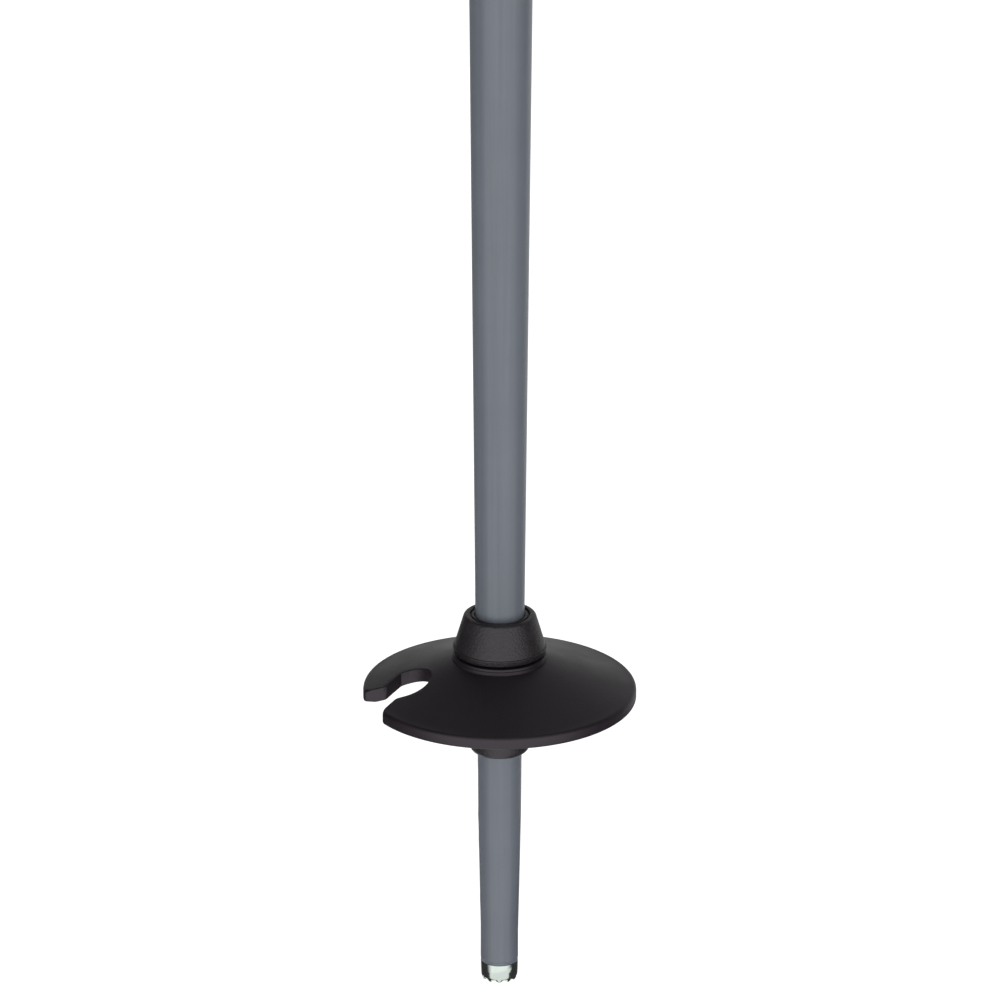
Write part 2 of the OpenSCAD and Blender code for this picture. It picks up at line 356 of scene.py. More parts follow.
def cut(obj, cutter):
    """Takes the cutter's shape out of a piece and drops the cutter."""
    modifier = obj.modifiers.new("cut", "BOOLEAN")
    modifier.object = cutter
    modifier.operation = "DIFFERENCE"
    modifier.solver = "EXACT"
    graph = bpy.context.evaluated_depsgraph_get()
    graph.update()
    mesh = bpy.data.meshes.new_from_object(obj.evaluated_get(graph))
    mesh.set_sharp_from_angle(angle=math.radians(35))
    obj.modifiers.clear()
    obj.data = mesh
    bpy.data.objects.remove(cutter)


def rounded_block(name, x, y, z, radius=0.8):
    """A block from x[0] to x[1] and so on, its upright edges rounded."""
    plan = rectangle(*x, *y, radius)
    bm = bmesh.new()
    skin(bm, [[(p.x, p.y, height) for p in plan] for height in z])
    return finish_mesh(bm, name)


# ---------------------------------------------------------------- finishes

class Finish:
    """A procedural material: a Principled shader, and textures in the part's own space."""

    def __init__(self, name, **sockets):
        self.material, self.shader = new_material(name, sockets)
        self.tree = self.material.node_tree
        self.space = self.add("ShaderNodeTexCoord", {}).outputs["Object"]

    def add(self, kind, inputs, **settings):
        return add_node(self.tree, kind, inputs, settings)

    def stretched(self, scale):
        return self.add("ShaderNodeMapping", {"Vector": self.space, "Scale": scale}).outputs[0]

    def noise(self, size_mm, detail=3.0, stretch=(1, 1, 1)):
        """Noise whose features are about size_mm across."""
        inputs = {"Vector": self.stretched(stretch), "Scale": 1 / (size_mm * MM), "Detail": detail,
                  "Roughness": 0.55}
        return self.add("ShaderNodeTexNoise", inputs).outputs["Fac"]

    def cells(self, size_mm, stretch=(1, 1, 1)):
        """The distance to the middle of round cells about size_mm across."""
        inputs = {"Vector": self.stretched(stretch), "Scale": 1 / (size_mm * MM)}
        return self.add("ShaderNodeTexVoronoi", inputs, feature="F1").outputs["Distance"]

    def span(self, value, start, end, low_out=0.0, high_out=1.0):
        inputs = {"Value": value, "From Min": start, "From Max": end, "To Min": low_out, "To Max": high_out}
        return self.add("ShaderNodeMapRange", inputs).outputs[0]

    def maths(self, operation, a, b=0.0):
        return self.add("ShaderNodeMath", {0: a, 1: b}, operation=operation).outputs[0]

    def mixed(self, a, share, b):
        """A share of a and the rest of b."""
        return self.maths("ADD", self.maths("MULTIPLY", a, share), self.maths("MULTIPLY", b, 1 - share))

    def blend(self, factor, a, b):
        """A colour between a and b."""
        return self.add("ShaderNodeMix", {0: factor, 6: (*a, 1), 7: (*b, 1)}, data_type="RGBA").outputs[2]

    def colour(self, value):
        self.tree.links.new(value, self.shader.inputs["Base Color"])

    def rough(self, value):
        self.tree.links.new(value, self.shader.inputs["Roughness"])

    def bump(self, height, depth_mm, strength=1.0, under=None):
        """Relief from a height, over an earlier bump if one is given."""
        inputs = {"Height": height, "Distance": depth_mm * MM, "Strength": strength}
        if under is not None:
            inputs["Normal"] = under
        normal = self.add("ShaderNodeBump", inputs).outputs[0]
        self.tree.links.new(normal, self.shader.inputs["Normal"])
        return normal


def shaft_paint():
    """Satin grey paint on a drawn tube: faint draw lines, fine orange peel, a rolled line over the crown."""
    f = Finish("shaft_paint", Roughness=0.5, Coat_Weight=0.8, Coat_IOR=1.5, Specular_IOR_Level=0.3)
    line_z, line_half = CROWN_TOP + 0.85, 0.2
    broad = f.noise(12, 4)
    drawn = f.noise(1.2, 2, stretch=(1, 1, 0.015))
    tone = f.mixed(broad, 0.4, drawn)
    f.colour(f.blend(f.span(tone, 0.35, 0.65), (0.126, 0.142, 0.170), (0.144, 0.162, 0.192)))
    f.tree.links.new(f.span(broad, 0.3, 0.7, 0.20, 0.26), f.shader.inputs["Coat Roughness"])
    height = f.add("ShaderNodeSeparateXYZ", {"Vector": f.space}).outputs[2]
    off = f.maths("ABSOLUTE", f.maths("SUBTRACT", height, line_z * MM))
    peel = f.bump(f.noise(0.5, 2), 0.003)
    f.bump(f.span(off, 0, line_half * MM), 0.12, under=peel)
    return f.material


def crown_steel():
    """Bright plated steel with faint turning marks."""
    f = Finish("crown_steel", Metallic=1.0)
    turning = f.noise(0.3, 2, stretch=(0.05, 0.05, 1))
    f.colour(f.blend(f.noise(1.6), (0.62, 0.70, 0.68), (0.72, 0.78, 0.70)))
    f.rough(f.span(turning, 0.3, 0.7, 0.08, 0.13))
    f.bump(turning, 0.004)
    return f.material


def moulded(name, dark, light, rough, grain_mm, depth_mm, mottle_mm=6, **sockets):
    """Moulded black plastic or rubber with a grained skin."""
    f = Finish(name, **sockets)
    mottle = f.noise(mottle_mm, 4)
    grain = f.noise(grain_mm, 3)
    tone = f.mixed(mottle, 0.6, grain)
    f.colour(f.blend(f.span(tone, 0.35, 0.65), dark, light))
    f.rough(f.span(mottle, 0.3, 0.7, rough - 0.04, rough + 0.06))
    f.bump(grain, depth_mm)
    return f.material


def zinc():
    """Bright zinc-plated steel, a little uneven."""
    f = Finish("bright_steel", Metallic=1.0)
    f.colour(f.blend(f.noise(1.5), (0.62, 0.63, 0.65), (0.72, 0.73, 0.75)))
    f.rough(f.span(f.noise(0.6), 0.3, 0.7, 0.22, 0.34))
    return f.material


def webbing():
    """Black woven strap: a herringbone of yarns that run along it, in the strap's own length and width."""
    f = Finish("webbing", Roughness=0.85, Sheen_Weight=0.25, Sheen_Roughness=0.4)
    yarn, pick, chevron = 1.15, 1.3, 2.6
    uv = f.add("ShaderNodeTexCoord", {}).outputs["UV"]
    axes = f.add("ShaderNodeSeparateXYZ", {"Vector": uv}).outputs
    across = f.maths("MULTIPLY", axes[0], TAU / (yarn * MM))
    zigzag = f.maths("PINGPONG", axes[0], chevron * MM)
    along = f.maths("MULTIPLY", f.maths("ADD", axes[1], zigzag), TAU / (pick * MM))
    yarns = f.maths("MULTIPLY", f.maths("SINE", across), 0.5)
    picks = f.maths("MULTIPLY", f.maths("SINE", along), 0.5)
    weave = f.span(f.maths("ADD", yarns, picks), -1, 1)
    fuzz = f.noise(0.4, 3)
    tone = f.mixed(weave, 0.7, fuzz)
    f.colour(f.blend(tone, (0.012, 0.012, 0.014), (0.045, 0.046, 0.05)))
    under = f.bump(fuzz, 0.05, 0.5)
    f.bump(weave, 0.22, 0.8, under)
    return f.material


def knit():
    """Dark grey lining: a close knit of small cells."""
    f = Finish("pad_fabric", Roughness=0.95, Sheen_Weight=0.3, Sheen_Roughness=0.5)
    cells = f.cells(0.5, stretch=(1, 1, 0.7))
    f.colour(f.blend(f.span(cells, 0.1, 0.7), (0.048, 0.050, 0.056), (0.030, 0.031, 0.035)))
    under = f.bump(f.noise(0.3), 0.03)
    f.bump(f.span(cells, 0, 0.7, 1, 0), 0.09, 0.8, under)
    return f.material


FINISHES = {
    "shaft_paint": shaft_paint(),
    "crown_steel": crown_steel(),
    "hub_plastic": moulded("hub_plastic", (0.010, 0.0075, 0.0095), (0.024, 0.020, 0.024), 0.36, 0.5, 0.2,
                           Specular_IOR_Level=0.7, Specular_Tint=(1, 0.95, 0.99, 1)),
    "disc_rubber": moulded("disc_rubber", (0.0105, 0.0075, 0.011), (0.0145, 0.011, 0.0155), 0.42, 0.9, 0.04,
                           mottle_mm=14, Specular_IOR_Level=0.62, Specular_Tint=(1, 0.92, 0.99, 1)),
    "core_plastic": moulded("core_plastic", (0.012, 0.012, 0.013), (0.02, 0.02, 0.021), 0.5, 0.5, 0.02),
    "trim_plastic": moulded("trim_plastic", (0.11, 0.12, 0.14), (0.13, 0.14, 0.16), 0.42, 0.4, 0.015),
    "sleeve_rubber": moulded("sleeve_rubber", (0.014, 0.014, 0.015), (0.024, 0.024, 0.025), 0.72, 0.35, 0.04),
    "head_plastic": moulded("head_plastic", (0.012, 0.012, 0.013), (0.019, 0.019, 0.02), 0.45, 0.4, 0.03),
    "bright_steel": zinc(),
    "webbing": webbing(),
    "pad_fabric": knit(),
}


def dress(obj, slot, body=None, *nodes):
    """Gives a piece its finish and, where it is new, its body and the CAD nodes that it stands for."""
    obj.data.materials.clear()
    obj.data.materials.append(FINISHES[slot])
    if body:
        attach(obj, body)
    if nodes:
        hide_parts(*nodes)


# ---------------------------------------------------------------- crown

def make_crown():
    """The toothed steel crown: a lathe with eleven round gullets cut up into its lower edge."""
    teeth, gullet_r, gullet_depth = 11, 0.97, 0.85
    foot_r, side_r = 4.25, 4.82
    shank_r, shank_top = 3.55, 21
    cup_r, cup_depth = 2.9, 4.2
    outline = rounded([(0, cup_depth), (cup_r - 0.5, cup_depth, 0.3), (cup_r, 1.4), (cup_r + 0.1, 0),
                       (foot_r - 0.15, 0), (foot_r + 0.05, 0.08), (foot_r + 0.28, 0.5),
                       (side_r - 0.12, 1.3, 0.8), (side_r - 0.04, 3, 1.5), (side_r, CROWN_TOP - 0.05, 0.1),
                       (shank_r, CROWN_TOP), (shank_r, shank_top), (0, shank_top)])
    crown = lathe("crown", outline, 360, 50)
    for vert in crown.data.vertices:
        r = math.hypot(vert.co.x, vert.co.y) / MM
        around = math.atan2(vert.co.y, vert.co.x) + math.pi / 2
        off = (around / TAU * teeth - 0.5) % 1
        side = r * math.sin(min(off, 1 - off) * TAU / teeth)
        lift = gullet_depth - gullet_r + math.sqrt(max(0, gullet_r ** 2 - side ** 2))
        vert.co.z = max(vert.co.z, lift * MM)
    dress(crown, "crown_steel", "pole", "tip_crown")


# ---------------------------------------------------------------- basket

RIM_H = 2.8
WALL = 3.75
FLANGE_R = 12.2
RIM_ROUND = 1.1
FILLET = 0.4

# The clip notch in plan, in millimetres from the axis: its hole, and its mouth's corners as (x, y, radius)
HOLE = Vector((-24, -5.8))
HOLE_R = 6.55
FAR_TIP, FAR_BUMP, FAR_ROOT = (-34.7, -4.05, 1.0), (-29.1, -4.9, 1.2), (-24.6, 1.5)
NEAR_TIP, NEAR_BEND = (-30.5, -17.3, 3.0), (-26.4, HOLE.y - HOLE_R, 1.5)


def disc_top(r):
    """The height of the disc's upper face at a radius, a little dished."""
    return RIM_Z + RIM_H + (DISC_R - r) * 0.31 + (DISC_R - r) ** 2 * 0.0014


def disc_under(r):
    """The height of its lower face: flat near the rim, then a wall's thickness below the upper one."""
    return max(RIM_Z, disc_top(r) - WALL)


def notch_contour():
    """The disc's outline in plan: along the far claw, round the hole, along the near claw, round the rim."""
    far_angle = math.atan2(FAR_TIP[1], FAR_TIP[0]) % TAU
    near_angle = math.atan2(NEAR_TIP[1], NEAR_TIP[0]) % TAU
    margin = math.radians(3)
    start, end = near_angle + margin, far_angle - margin + TAU
    hole_steps, rim_steps = 48, 300
    longest, shortest = 0.5, 0.02

    bump, root = Vector(FAR_BUMP[:2]), Vector(FAR_ROOT)
    way = (root - bump).normalized()
    reach = way.dot(HOLE - bump)
    off = (bump + way * reach - HOLE).length
    meet = bump + way * (reach + math.sqrt(HOLE_R ** 2 - off ** 2))
    first = math.atan2(meet.y - HOLE.y, meet.x - HOLE.x)
    sweep = (first + math.pi / 2) % TAU

    across = Vector((HOLE_R, 0))
    hole = [HOLE + turned(across, first - sweep * k / hole_steps) for k in range(hole_steps + 1)]
    rim = [polar(start + (end - start) * k / rim_steps) * DISC_R for k in range(rim_steps)]
    far = rounded([polar(far_angle - margin) * DISC_R, FAR_TIP, FAR_BUMP, meet], closed=False, steps=8)
    near = rounded([hole[-1], NEAR_BEND, NEAR_TIP, rim[0]], closed=False, steps=8)
    chain = resampled(far, longest)[:-1] + hole + resampled(near, longest)[1:-1] + rim
    return [p for i, p in enumerate(chain) if (p - chain[i - 1]).length > shortest]


def inward(contour):
    """Unit normals of the contour that point into the material, which lies on its left."""
    n = len(contour)
    normals = []
    for i in range(n):
        d = (contour[(i + 1) % n] - contour[i - 1]).normalized()
        normals.append(Vector((-d.y, d.x)))
    return normals


def inside(point, loop):
    """Whether a plane point lies inside a closed loop."""
    hit = False
    for a, b in zip(loop, loop[1:] + loop[:1]):
        if (a.y > point.y) != (b.y > point.y):
            if point.x < a.x + (point.y - a.y) / (b.y - a.y) * (b.x - a.x):
                hit = not hit
    return hit


def upper_edge(p):
    """The upper edge's radius: the rim's own round, easing to a small one inside the notch."""
    return FILLET + (RIM_ROUND - FILLET) * smooth(clamped((p.length - (DISC_R - 2)) / 1.9))


def lower_edge(p):
    """The lower edge's radius, the same all round."""
    return FILLET


def disc_face(bm, inset, hub, height):
    """One face of the disc, from its notched outline to the boss, meshed finely enough to follow the dish."""
    rows, spacing, clearance = 20, 1.1, 0.3
    fill = []
    for row in range(1, rows):
        r = FLANGE_R + (DISC_R - FLANGE_R - FILLET) * row / rows
        count = int(TAU * r / spacing)
        for k in range(count):
            p = polar(TAU * (k + row % 2 / 2) / count) * r
            if inside(p, inset) and min((p - q).length_squared for q in inset) > clearance:
                fill.append(p)
    n, m = len(inset), len(hub)
    edges = [(i, (i + 1) % n) for i in range(n)] + [(n + i, n + (i + 1) % m) for i in range(m)]
    flat, _, faces = delaunay_2d_cdt(inset + hub + fill, edges, [], 0, 1e-6)[:3]
    verts = [bm.verts.new((p.x, p.y, height(p.length))) for p in flat]
    for face in faces:
        middle = sum((flat[i] for i in face), Vector((0, 0))) / len(face)
        if middle.length > FLANGE_R * math.cos(math.pi / m) and inside(middle, inset):
            bm.faces.new([verts[i] for i in face])
    bmesh.ops.delete(bm, geom=[v for v in verts if not v.link_faces], context="VERTS")


def edge_loop(bm, contour, normals, angle, height, radius, side):
    """A ring of the disc's rounded edge: at angle 0 it meets a face, at a quarter turn the upright wall."""
    loop = []
    for p, d in zip(contour, normals):
        r = radius(p)
        at = p + d * r * (1 - math.sin(angle))
        loop.append(bm.verts.new((at.x, at.y, height((p + d * r).length) + side * r * (1 - math.cos(angle)))))
    return loop


def boss_outline():
    """The turned middle: the flange, the ring round the hub, the bore, and the recess below it."""
    flange_z, floor_z = RING_Z - 0.7, RIM_Z + 2
    ring_r, bore_r, recess_r = 11.95, 8.58, 12
    return rounded([(FLANGE_R, disc_top(FLANGE_R)), (FLANGE_R, flange_z, 0.1), (ring_r, flange_z + 0.1),
                    (ring_r - 0.05, RING_Z, 0.22), (bore_r, RING_Z, 0.3), (bore_r, floor_z, 0.3),
                    (recess_r, floor_z, 0.5), (recess_r, disc_under(recess_r)),
                    (FLANGE_R, disc_under(FLANGE_R))], closed=False, steps=4)


def make_disc():
    """The dished disc: two faces round the clip notch, a rounded edge, and a turned boss in the middle."""
    around, steps = 144, 6
    contour = notch_contour()
    normals = inward(contour)
    hub = [polar(TAU * k / around) * FLANGE_R for k in range(around)]
    quarter = [math.pi / 2 * k / steps for k in range(steps + 1)]
    bm = bmesh.new()
    edge = []
    for height, radius, side, angles in ((disc_top, upper_edge, -1, quarter),
                                         (disc_under, lower_edge, 1, quarter[::-1])):
        disc_face(bm, [p + d * radius(p) for p, d in zip(contour, normals)], hub, height)
        edge += [edge_loop(bm, contour, normals, angle, height, radius, side) for angle in angles]
    boss = [ring(bm, p[0], p[1], around) for p in boss_outline()]
    for loops in (edge, boss):
        for a, b in zip(loops, loops[1:]):
            bridge(bm, a, b)
    dress(finish_mesh(bm, "basket_dish", 42), "disc_rubber", "basket", "basket_disc")


def shaft_radius(z):
    """The tube's outer radius where the hub sits, on its taper between two known heights."""
    low_z, low_r = 61, 5.65
    high_z, high_r = RIM_Z + 21, 6.3
    return low_r + (z - low_z) * (high_r - low_r) / (high_z - low_z)


def make_hub():
    """The moulded hub: foot, stop, neck, flared skirt, cone, and a double lip round the shaft."""
    foot_r, stop_r, neck_r = 7.65, 9.4, 8.5
    skirt_r, cone_r = 12.05, 9.15
    lip_r, inner_r, throat_r = 7.65, 7.2, 6.5
    stop_z, skirt_z, skirt_h = RIM_Z + 0.6, RING_Z + 0.6, 1.6
    groove_z, inner_z = HUB_TOP - 0.6, HUB_TOP - 0.15
    press_z = RIM_Z + 16
    outline = rounded([(shaft_radius(HUB_FOOT), HUB_FOOT), (foot_r, HUB_FOOT, 1.6),
                       (foot_r, RIM_Z - 1.6, 0.3), (stop_r, stop_z, 0.3), (stop_r, stop_z + 0.65, 0.2),
                       (neck_r, stop_z + 1.05), (neck_r, skirt_z), (skirt_r - 0.3, skirt_z, 0.3),
                       (skirt_r, skirt_z + skirt_h, 0.2),
                       (skirt_r - 0.35, skirt_z + skirt_h + 0.05, 0.1), (cone_r, HUB_TOP, 1),
                       (lip_r, HUB_TOP, 0.3), (lip_r, groove_z), (inner_r, groove_z), (inner_r, inner_z, 0.1),
                       (throat_r, inner_z, 0.15), (throat_r, press_z + 1), (shaft_radius(press_z), press_z)],
                      steps=6)
    dress(lathe("hub", outline, 160, 50), "hub_plastic", "pole", "basket_hub")


dress(frame["nodes"]["shaft_tube"], "shaft_paint")
make_crown()
make_hub()
make_disc()


# ---------------------------------------------------------------- grip

OVAL_POINTS = 128
CAP_H = 2.6

# Height over the head's foot, then the head's reach to the front, to the back and to each side
HEAD_STATIONS = [[0, 17, 15.5, 14.5], [4, 19.5, 18, 15.2], [9, 23, 21.5, 16], [15, 24.8, 23.3, 16.3],
                 [23, 24.8, 23.3, 16.2], [29, 23.4, 22.2, 15.3], [33, 20.8, 19.8, 13.6], [36, 16.5, 16, 11]]


def oval(z, front, back, half_w, power):
    """A squarish oval with its own reach to the front (+X) and the back."""
    points = []
    for k in range(OVAL_POINTS):
        c, s = math.cos(TAU * k / OVAL_POINTS), math.sin(TAU * k / OVAL_POINTS)
        x = (front if c > 0 else -back) * abs(c) ** power
        y = half_w * math.copysign(abs(s) ** power, s)
        points.append((x, y, z))
    return points


def eased(stations, t):
    """Smooth values between stations [t, ...] by a Hermite curve."""
    k = max(i for i, s in enumerate(stations) if s[0] <= t + 1e-9)
    k = min(k, len(stations) - 2)
    p = [stations[max(0, k - 1)], stations[k], stations[k + 1], stations[min(len(stations) - 1, k + 2)]]
    span = p[2][0] - p[1][0]
    u = (t - p[1][0]) / span
    out = []
    for i in range(1, len(stations[0])):
        m0 = (p[2][i] - p[0][i]) / (p[2][0] - p[0][0]) * span
        m1 = (p[3][i] - p[1][i]) / (p[3][0] - p[1][0]) * span
        out.append(p[1][i] * (2 * u ** 3 - 3 * u ** 2 + 1) + m0 * (u ** 3 - 2 * u ** 2 + u)
                   + p[2][i] * (3 * u ** 2 - 2 * u ** 3) + m1 * (u ** 3 - u ** 2))
    return out


def head_shell(name):
    """The head's skin: an oval barrel that rounds over into a slightly domed top."""
    steps, power = 60, 0.82
    dome = 1.3
    side = HEAD_TOP - HEAD_Z - 1.2
    rings = []
    for k in range(steps + 1):
        t = side * k / steps
        front, back, half_w = eased(HEAD_STATIONS, t)
        rings.append(oval(HEAD_Z + t, front, back, half_w, power))
    for share in (0.98, 0.955, 0.925, 0.89, 0.85, 0.8, 0.73, 0.63, 0.5, 0.35, 0.18):
        top = HEAD_Z + side + dome * (1 - share ** 7)
        softer = power + (1 - power) * (1 - share)
        rings.append(oval(top, front * share, back * share, half_w * share, softer))
    bm = bmesh.new()
    skin(bm, rings)
    return finish_mesh(bm, name, 50)


def make_head():
    """The hard head, with the wedge's pocket, the strap's slot, room for its eye, and the cap's recess."""
    slot_h, eye_h = 2.1, 4.2
    room = (-9.5, 9.5)
    recess_r, recess_z, over = CAP_R + 0.1, POLE_TOP - CAP_H, POLE_TOP + 5
    recess = [(0, recess_z), (recess_r, recess_z), (recess_r, over), (0, over)]
    shell = head_shell("head")
    cut(shell, rounded_block("pocket", (-17.7, -9.3), (-9.2, 9.2), (HINGE.z, over)))
    cut(shell, rounded_block("slot", (-40, -12), room, (HINGE.z - slot_h, HINGE.z + slot_h), 0.5))
    cut(shell, rounded_block("eye_room", (-16.2, -7.8), room, (HINGE.z - eye_h, HINGE.z + eye_h)))
    cut(shell, lathe("recess", rounded(recess), 96))
    dress(shell, "head_plastic", "pole", "grip_head")


def drawn_in(points, share):
    """An oval drawn in by a share of its size under the palm, at its back."""
    out = []
    for i, (x, y, z) in enumerate(points):
        palm = clamped((-math.cos(TAU * i / len(points)) - 0.1) / 0.25)
        out.append((x * (1 - share * palm), y * (1 - share * palm), z))
    return out


def make_sleeve():
    """The rubber sleeve: finger grooves in front, fine ribs under the palm."""
    length = HEAD_Z - SLEEVE_Z
    fingers, groove_depth = 4, 2.2
    rib_pitch, rib_depth = 2.4, 0.03
    round_h, round_in = 1.0, 0.6
    steps = 260
    rings = []
    for k in range(steps + 1):
        t = k / steps
        belly = math.sin(math.pi * t)
        edge = min(t, 1 - t) * length
        tuck = round_in * max(0, 1 - edge / round_h) ** 2
        front = 17.4 - groove_depth * (1 - math.cos(TAU * fingers * t)) / 2 + 0.5 * belly * (1 - t)
        back = 15.6 - 0.9 * math.sin(TAU * t)
        half_w = 14.6 - 0.8 * belly
        rib = (0.5 - 0.5 * math.cos(TAU * t * length / rib_pitch)) ** 3 * clamped((edge - 7) / 2)
        points = oval(SLEEVE_Z + t * length, front - tuck, back - tuck, half_w - tuck, 0.9)
        rings.append(drawn_in(points, rib_depth * rib))
    for z in (HEAD_Z, SLEEVE_Z):
        rings.append([(*(polar(TAU * i / OVAL_POINTS) * CORE_R), z) for i in range(OVAL_POINTS)])
    bm = bmesh.new()
    hollow_skin(bm, rings)
    dress(finish_mesh(bm, "sleeve", 50), "sleeve_rubber", "pole", "grip_sleeve")


def make_collar():
    """The hand stop below the sleeve."""
    foot, top = COLLAR_Z, COLLAR_Z + 9
    foot_r, rim_r, neck_r = 14.6, 17.4, 15.9
    outline = rounded([(SHAFT_R, foot), (foot_r, foot, 1.5), (rim_r, foot + 3.4, 2), (rim_r, foot + 6.2, 1.2),
                       (neck_r, top, 0.6), (SHAFT_R, top)])
    dress(lathe("collar", outline), "trim_plastic", "pole", "grip_collar")


def make_cap():
    """The plain cap, with a ring groove in its top."""
    top, foot, groove_z = POLE_TOP, POLE_TOP - CAP_H, POLE_TOP - 0.5
    groove_out, groove_in, slope = 5.1, 4.7, 0.3
    outline = rounded([(0, foot), (CAP_R, foot), (CAP_R, top - 0.2, 0.7), (groove_out + slope, top - 0.05),
                       (groove_out, groove_z, 0.2), (groove_in, groove_z, 0.2), (groove_in - slope, top, 0.3),
                       (0, top)])
    dress(lathe("cap", outline), "trim_plastic", "pole", "head_cap")


def make_wedge():
    """The locking wedge: its top follows the head, with three ribs for the thumb."""
    guide = head_shell("guide")
    tree = BVHTree.FromObject(guide, bpy.context.evaluated_depsgraph_get())
    x0, x1 = low("strap_wedge").x / MM, high("strap_wedge").x / MM
    half = high("strap_wedge").y / MM
    foot = low("strap_wedge").z / MM
    rib_h, rib_pitch = 0.4, 2.2
    edge_drop = 0.5
    mid = Vector(((x0 + x1) / 2, 0))
    plan = rectangle(x0, x1, -half, half, 0.8, steps=6)
    plan = resampled(plan + plan[:1], 0.8)[:-1]

    def top(p):
        """The head's height over a plane point, with the ribs on it, which fade towards the wedge's edges."""
        hit = tree.ray_cast(Vector((p.x, p.y, POLE_TOP + 50)) * MM, Vector((0, 0, -1)))[0]
        fade = clamped((half - 1.2 - abs(p.y)) / 1.6) * clamped((min(p.x - x0, x1 - p.x) - 0.6) / 0.6)
        rib = rib_h * max(0, math.cos(TAU * (p.x - mid.x) / rib_pitch))
        return hit.z / MM + rib * smooth(fade)

    rings = [[(p.x, p.y, foot) for p in plan], [(p.x, p.y, top(p) - edge_drop) for p in plan]]
    for k in range(1, 49):
        inward_by = 0.02 * k
        drop = edge_drop * max(0, 1 - inward_by * 12) ** 2
        moved = [mid + (p - mid) * (1 - inward_by) for p in plan]
        rings.append([(p.x, p.y, top(p) - drop) for p in moved])
    bm = bmesh.new()
    skin(bm, rings)
    bpy.data.objects.remove(guide)
    dress(finish_mesh(bm, "wedge", 60), "trim_plastic", "wedge", "strap_wedge")


make_collar()
make_sleeve()
make_head()
make_cap()
make_wedge()
dress(frame["nodes"]["grip_core"], "core_plastic")
dress(frame["nodes"]["head_screw"], "bright_steel")
dress(frame["nodes"]["strap_pin"], "bright_steel")


# ---------------------------------------------------------------- strap

WEB_T = 1.6
WEB_W = (high("strap_loop").y - low("strap_loop").y) / MM
LOOP_LOW = low("strap_loop").z / MM
LOOP_R = 28
# The leg of the loop that hangs straight, and the height where the two layers part
LEG_X = HINGE.x + WEB_T
FORK_Z = HINGE.z - 46
LOOP_CENTRE = Vector((LEG_X - LOOP_R, LOOP_LOW + LOOP_R))


def strap_path():
    """The webbing's middle line in the X-Z plane: from the pin, out of the head, round the loop and back."""
    t = WEB_T / 2
    eye = 2.8
    pin = -12
    far_x, near_x, slot_x = pin + eye, pin - 1.5, pin - 4
    z = HINGE.z
    lean = 2 * math.atan(LOOP_R / (FORK_Z - LOOP_CENTRE.y))
    bottom = LOOP_LOW + t
    radius = LOOP_R - t
    outer_foot = LEG_X - (FORK_Z - bottom) * math.tan(lean) + t / math.cos(lean)
    upper = [(far_x, z + eye, 2.6), (near_x, z + eye, 2), (slot_x, z + t, 2), (HINGE.x - t, z + t, 1.6),
             (HINGE.x - t, FORK_Z - 7, 14)]
    loop = [(outer_foot, bottom, radius), (LEG_X - t, bottom, radius)]
    lower = [(LEG_X - t, FORK_Z + 20), (HINGE.x + t, z - t, 0.9), (slot_x, z - t, 2), (near_x, z - eye, 2),
             (far_x, z - eye, 2.6)]
    chain = rounded(upper + loop + lower, steps=16)
    return resampled(chain + chain[:1], 0.9)[:-1]


def band_section(width, thickness):
    """A ribbon's cross-section, across and out: flat on both sides, its edges softened."""
    half_w, half_t = width / 2, thickness / 2
    soft, parts = 0.35, 8
    side = [(-half_w, -half_t * 0.3), (-half_w + soft, -half_t)]
    side += [(-half_w + width * k / parts, -half_t) for k in range(1, parts)]
    side += [(half_w - soft, -half_t), (half_w, -half_t * 0.3)]
    return side + [(-w, -h) for w, h in side]


def band(name, path, width, thickness):
    """A closed ribbon with soft edges, and its length; its UVs are metres across and along."""
    bm = bmesh.new()
    layer = bm.loops.layers.uv.new("length")
    section = band_section(width, thickness)
    n, m = len(path), len(section)
    rings, run = [], [0.0]
    for i, p in enumerate(path):
        d = (path[(i + 1) % n] - path[i - 1]).normalized()
        normal = Vector((-d.y, d.x))
        rings.append([bm.verts.new((p.x + normal.x * h, w, p.y + normal.y * h)) for w, h in section])
        run.append(run[-1] + (path[(i + 1) % n] - p).length)
    for i in range(n):
        a, b = rings[i], rings[(i + 1) % n]
        for k in range(m):
            j = (k + 1) % m
            face = bm.faces.new((a[k], a[j], b[j], b[k]))
            marks = ((k, i), (j, i), (j, i + 1), (k, i + 1))
            for corner, (cross, step) in zip(face.loops, marks):
                corner[layer].uv = (section[cross][0] * MM, run[step] * MM)
    return finish_mesh(bm, name, 60), run[-1]


def stitch(bm, a, b, out, radius=0.28):
    """One thread stitch from a to b, a short spindle that stands on the cloth."""
    along = (b - a).normalized()
    side = along.cross(out).normalized()
    rings = []
    for share, size in ((0, 0.35), (0.2, 0.85), (0.5, 1), (0.8, 0.85), (1, 0.35)):
        centre = a.lerp(b, share)
        rings.append([centre + (side * math.cos(q) + out * math.sin(q)) * radius * size
                      for q in (TAU * k / 8 for k in range(8))])
    skin(bm, rings)


def make_strap():
    """The wrist strap, one closed band that bends at the head's slot. Returns its length."""
    strap, length = band("wrist_strap", strap_path(), WEB_W, WEB_T - 0.1)
    strap.data.materials.append(FINISHES["webbing"])
    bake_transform(strap)
    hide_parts("strap_anchor", "strap_loop")
    return length


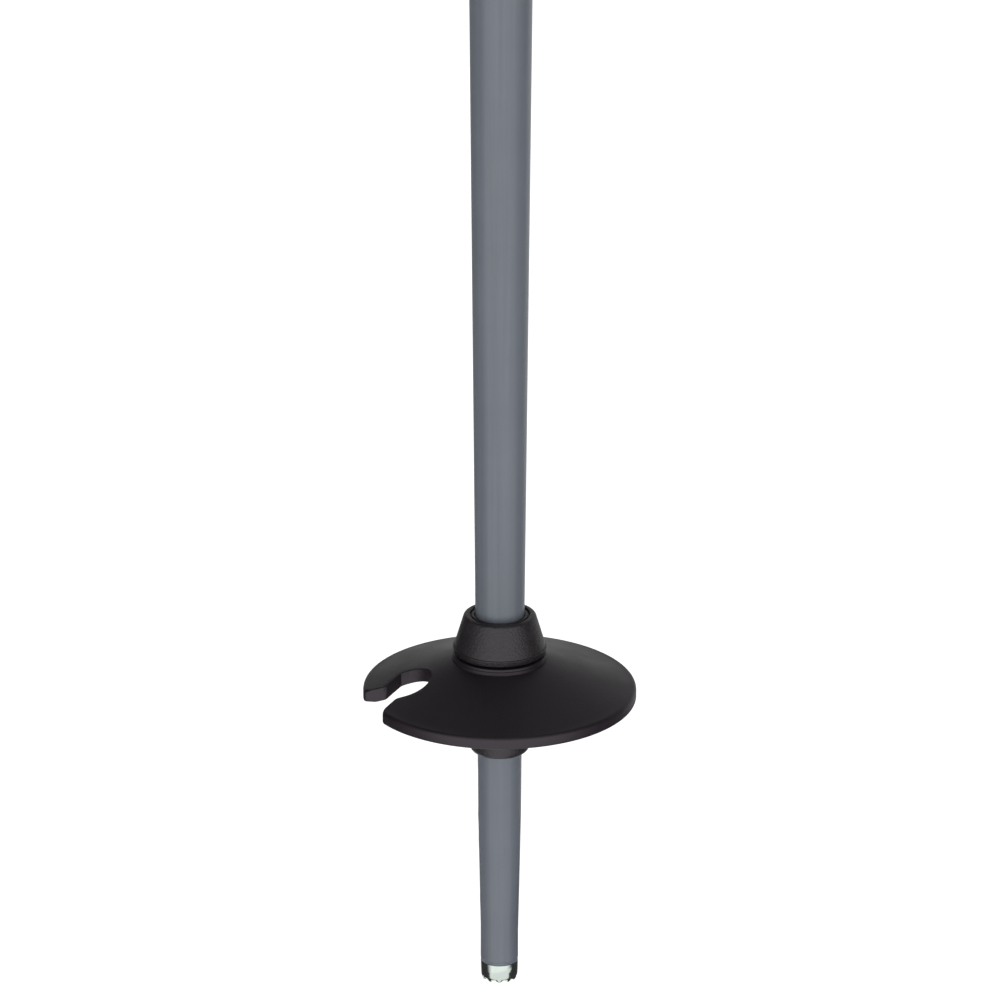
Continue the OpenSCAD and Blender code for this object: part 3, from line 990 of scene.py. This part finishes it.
def make_stitches():
    """The sewn box and cross that join the webbing's two layers above the fork."""
    half = WEB_W / 2 - 2.2
    top, bottom = FORK_Z + 12, FORK_Z + 1
    cloth_x = HINGE.x - WEB_T
    pitch, gap = 2.4, 0.12
    outward = Vector((-1, 0, 0))
    route = [(half, top), (-half, top), (-half, bottom), (half, bottom), (half, top), (-half, bottom),
             (-half, top), (half, bottom)]
    bm = bmesh.new()
    for (y0, z0), (y1, z1) in zip(route, route[1:]):
        a, b = Vector((cloth_x, y0, z0)), Vector((cloth_x, y1, z1))
        count = max(2, round((b - a).length / pitch))
        for k in range(count):
            stitch(bm, a.lerp(b, (k + gap) / count), a.lerp(b, (k + 1 - gap) / count), outward)
    dress(finish_mesh(bm, "strap_stitches", 60), "pad_fabric", "strap")


def make_pad():
    """The lined pad at the bottom of the loop: crowned across, pinched by four channels, thin at its ends."""
    outer = LOOP_R - WEB_T
    thick, wide, narrow = 2.0, 22, WEB_W - 0.6
    ends, channels, pinch_depth, pinch_half = 7, 4, 0.5, 0.8
    steps, across = 200, 24
    run = math.pi * outer
    rings = []
    for i in range(steps + 1):
        share = i / steps
        a = math.pi + math.pi * share
        t = min(1, min(share, 1 - share) * run / ends)
        widen = min(1, t * 1.6)
        half = (narrow + (wide - narrow) * math.sqrt(widen * (2 - widen))) / 2
        channel = min(abs(share - k / (channels + 1)) for k in range(1, channels + 1)) * run
        pinch = pinch_depth * math.exp(-(channel / pinch_half) ** 2)
        height = thick * (0.08 + 0.92 * smooth(t)) * (1 - pinch)
        shares = [-1 + 2 * k / across for k in range(across + 1)]
        section = [(outer - 0.3 - height * (1 - abs(w) ** 3.5), w * half) for w in shares]
        section += [(outer - 0.15, half), (outer - 0.15, -half)]
        c, s = math.cos(a), math.sin(a)
        rings.append([(LOOP_CENTRE.x + r * c, w, LOOP_CENTRE.y + r * s) for r, w in section])
    bm = bmesh.new()
    skin(bm, rings)
    pad = finish_mesh(bm, "wrist_pad", 60)
    dress(pad, "pad_fabric", "strap", "strap_pad")


def make_keeper():
    """The moulded keeper: a rounded sleeve round both layers of webbing."""
    x0, x1 = low("strap_slider").x / MM, high("strap_slider").x / MM
    y1 = high("strap_slider").y / MM
    z0, z1 = low("strap_slider").z / MM, high("strap_slider").z / MM
    wall, edge, flare, waist = 2.3, 0.7, 0.3, 0.08
    steps = 4
    mid = Vector(((x0 + x1) / 2, 0))
    outer = rectangle(x0, x1, -y1, y1, 2.4, steps=8)
    inner = rectangle(x0 + wall, x1 - wall, -y1 + wall, y1 - wall, 0.6, steps=8)

    def level(plan, grow, z):
        """A plan at a height, each point moved away from the middle by grow along X and Y."""
        return [(p.x + grow * math.copysign(1, p.x - mid.x), p.y + grow * math.copysign(1, p.y), z)
                for p in plan]

    quarter = [math.pi / 2 * k / steps for k in range(steps + 1)]
    rings = [level(outer, -edge * (1 - math.sin(a)), z0 + edge * (1 - math.cos(a))) for a in quarter]
    rings.append(level(outer, -waist, (z0 + z1) / 2))
    rings += [level(outer, -edge * (1 - math.sin(a)), z1 - edge * (1 - math.cos(a))) for a in quarter[::-1]]
    rings += [level(inner, flare, z1), level(inner, 0, z1 - 0.5), level(inner, 0, z0 + 0.5),
              level(inner, flare, z0)]
    bm = bmesh.new()
    hollow_skin(bm, rings)
    dress(finish_mesh(bm, "keeper", 50), "head_plastic", "slider", "strap_slider")


strap_length = make_strap()
make_stitches()
make_pad()
make_keeper()
